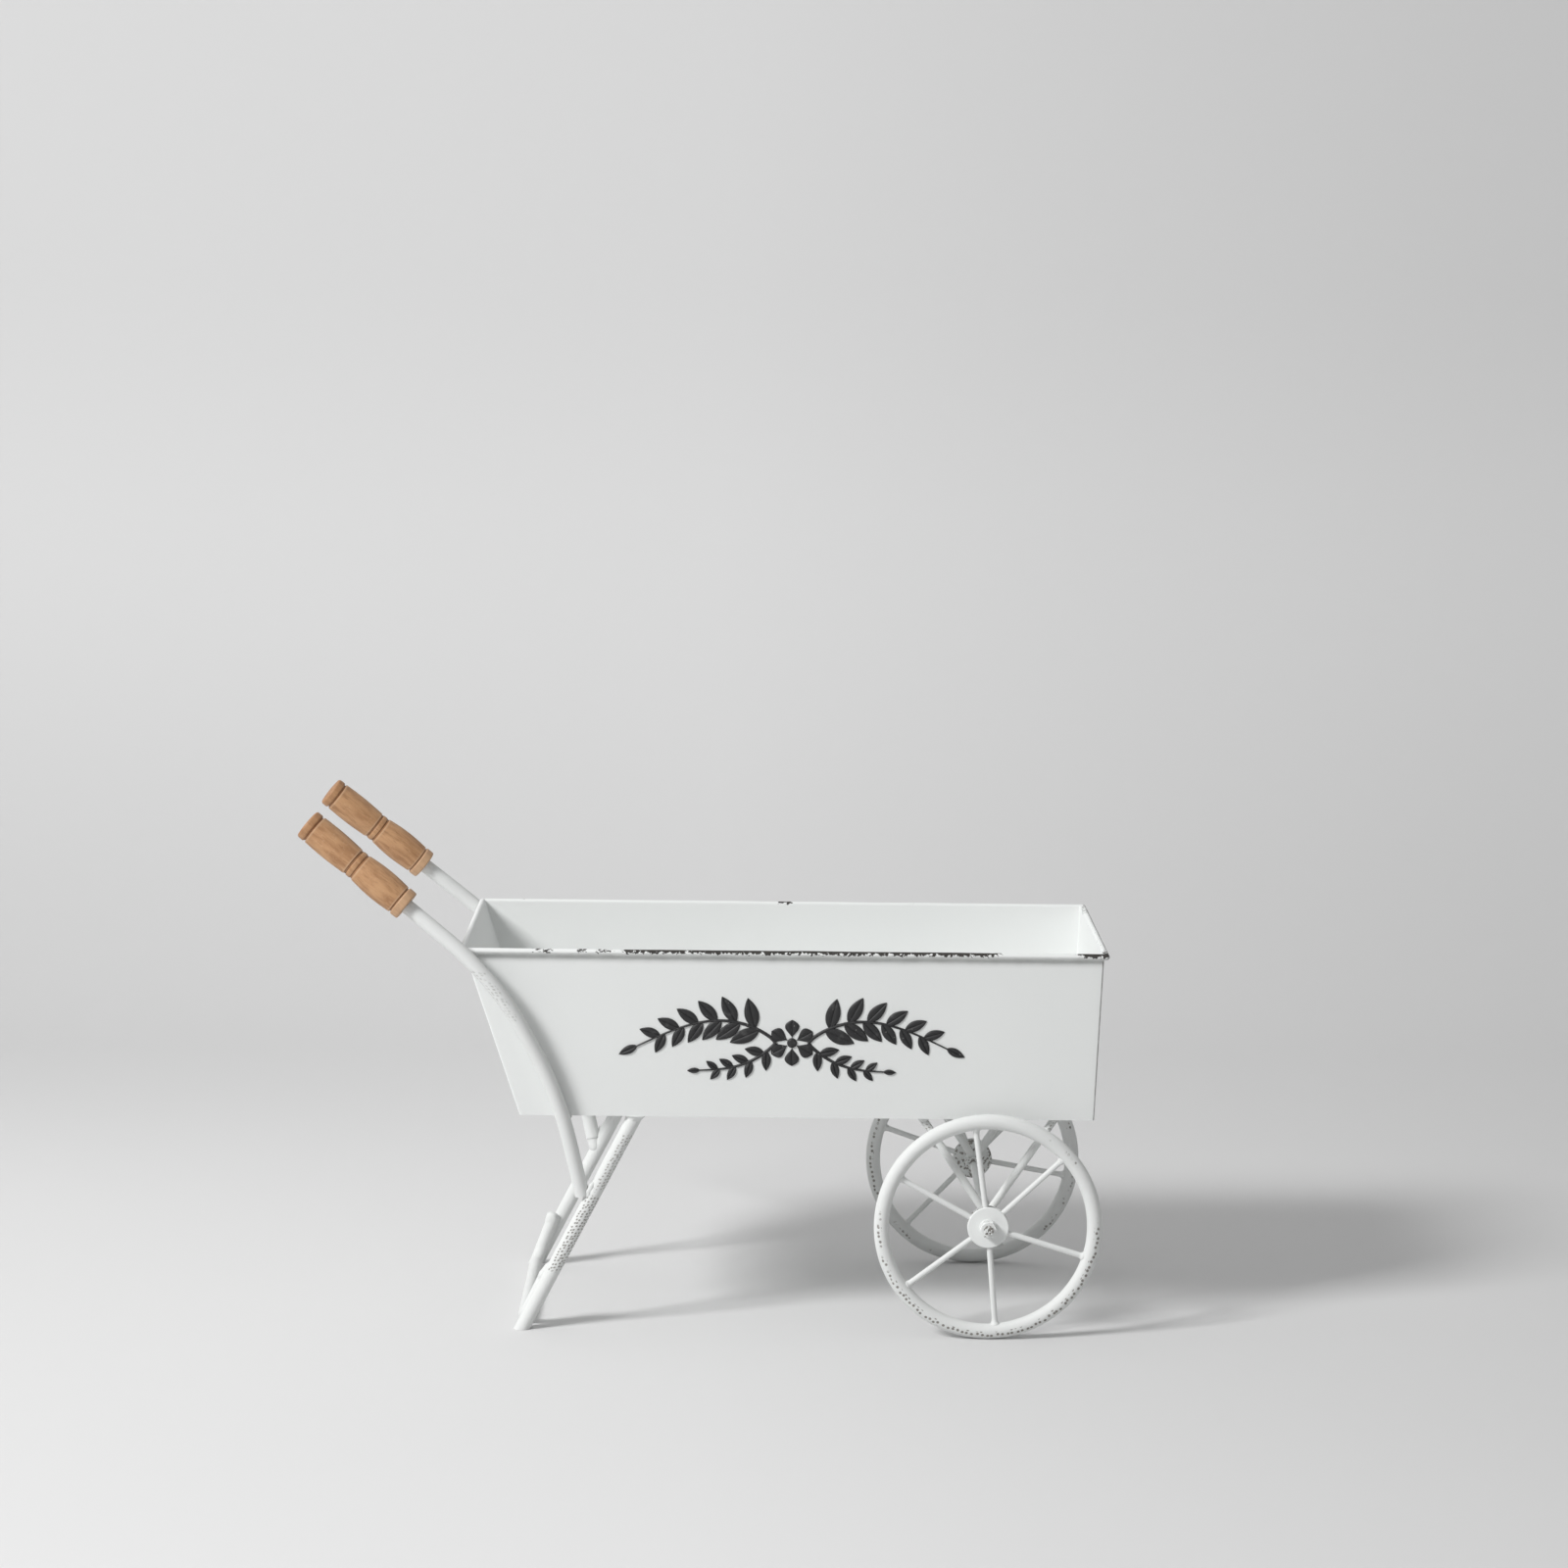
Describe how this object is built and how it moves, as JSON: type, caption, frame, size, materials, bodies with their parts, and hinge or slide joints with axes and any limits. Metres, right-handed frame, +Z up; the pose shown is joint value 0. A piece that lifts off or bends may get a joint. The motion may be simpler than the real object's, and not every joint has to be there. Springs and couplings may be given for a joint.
{
  "type": "wheelbarrow planter",
  "caption": "Enamelled sheet-metal trough planter shaped like a small wheelbarrow, with spoked wheels, bent rod handles with turned wooden grips and a rod stand.",
  "frame": {"origin": "on the ground, in the middle of the whole object's length and width", "axes": "+X from the handles to the wheels, +Y to the left of a person pushing it, +Z up"},
  "size_m": [0.5591, 0.2516, 0.3604],
  "materials": {
    "enamel": "chipped off-white enamel, satin",
    "hardware": "painted steel, worn to dark metal",
    "wire": "bare steel wire inside the rolled rim",
    "wood": "turned and lightly oiled"
  },
  "bodies": {
    "barrow": {"side_wall_right": "enamel", "side_wall_left": "enamel", "end_wall_rear": "enamel", "end_wall_front": "enamel", "tray_floor": "enamel", "handle_rod_right": "enamel", "handle_rod_left": "enamel", "leg_right": "enamel", "leg_left": "enamel", "foot_bar": "enamel", "strut_right_front": "enamel", "strut_right_rear": "enamel", "strut_left_front": "enamel", "strut_left_rear": "enamel", "axle_boss_right": "enamel", "axle_boss_left": "enamel", "axle": "enamel", "thrust_washer_right_inner": "hardware", "thrust_washer_right_outer": "hardware", "thrust_washer_left_inner": "hardware", "thrust_washer_left_outer": "hardware", "axle_nut_right": "hardware", "axle_nut_left": "hardware", "grip_right": "wood", "grip_left": "wood", "rim_wire": "wire"},
    "right_wheel": {"wheel_rim_right": "enamel", "hub_disc_outer_right": "enamel", "hub_disc_inner_right": "enamel", "hub_sleeve_right": "enamel", "spoke_right_1": "enamel", "spoke_right_2": "enamel", "spoke_right_3": "enamel", "spoke_right_4": "enamel", "spoke_right_5": "enamel", "spoke_right_6": "enamel"},
    "left_wheel": {"wheel_rim_left": "enamel", "hub_disc_outer_left": "enamel", "hub_disc_inner_left": "enamel", "hub_sleeve_left": "enamel", "spoke_left_1": "enamel", "spoke_left_2": "enamel", "spoke_left_3": "enamel", "spoke_left_4": "enamel", "spoke_left_5": "enamel", "spoke_left_6": "enamel"}
  },
  "joints": [
    {"name": "right_wheel_spin", "type": "hinge", "parent": "barrow", "child": "right_wheel", "pos_m": [0.1995, -0.112, 0.0785], "axis": [0, 1, 0], "continuous": true},
    {"name": "left_wheel_spin", "type": "hinge", "parent": "barrow", "child": "left_wheel", "pos_m": [0.1995, 0.112, 0.0785], "axis": [0, 1, 0], "continuous": true}
  ]
}
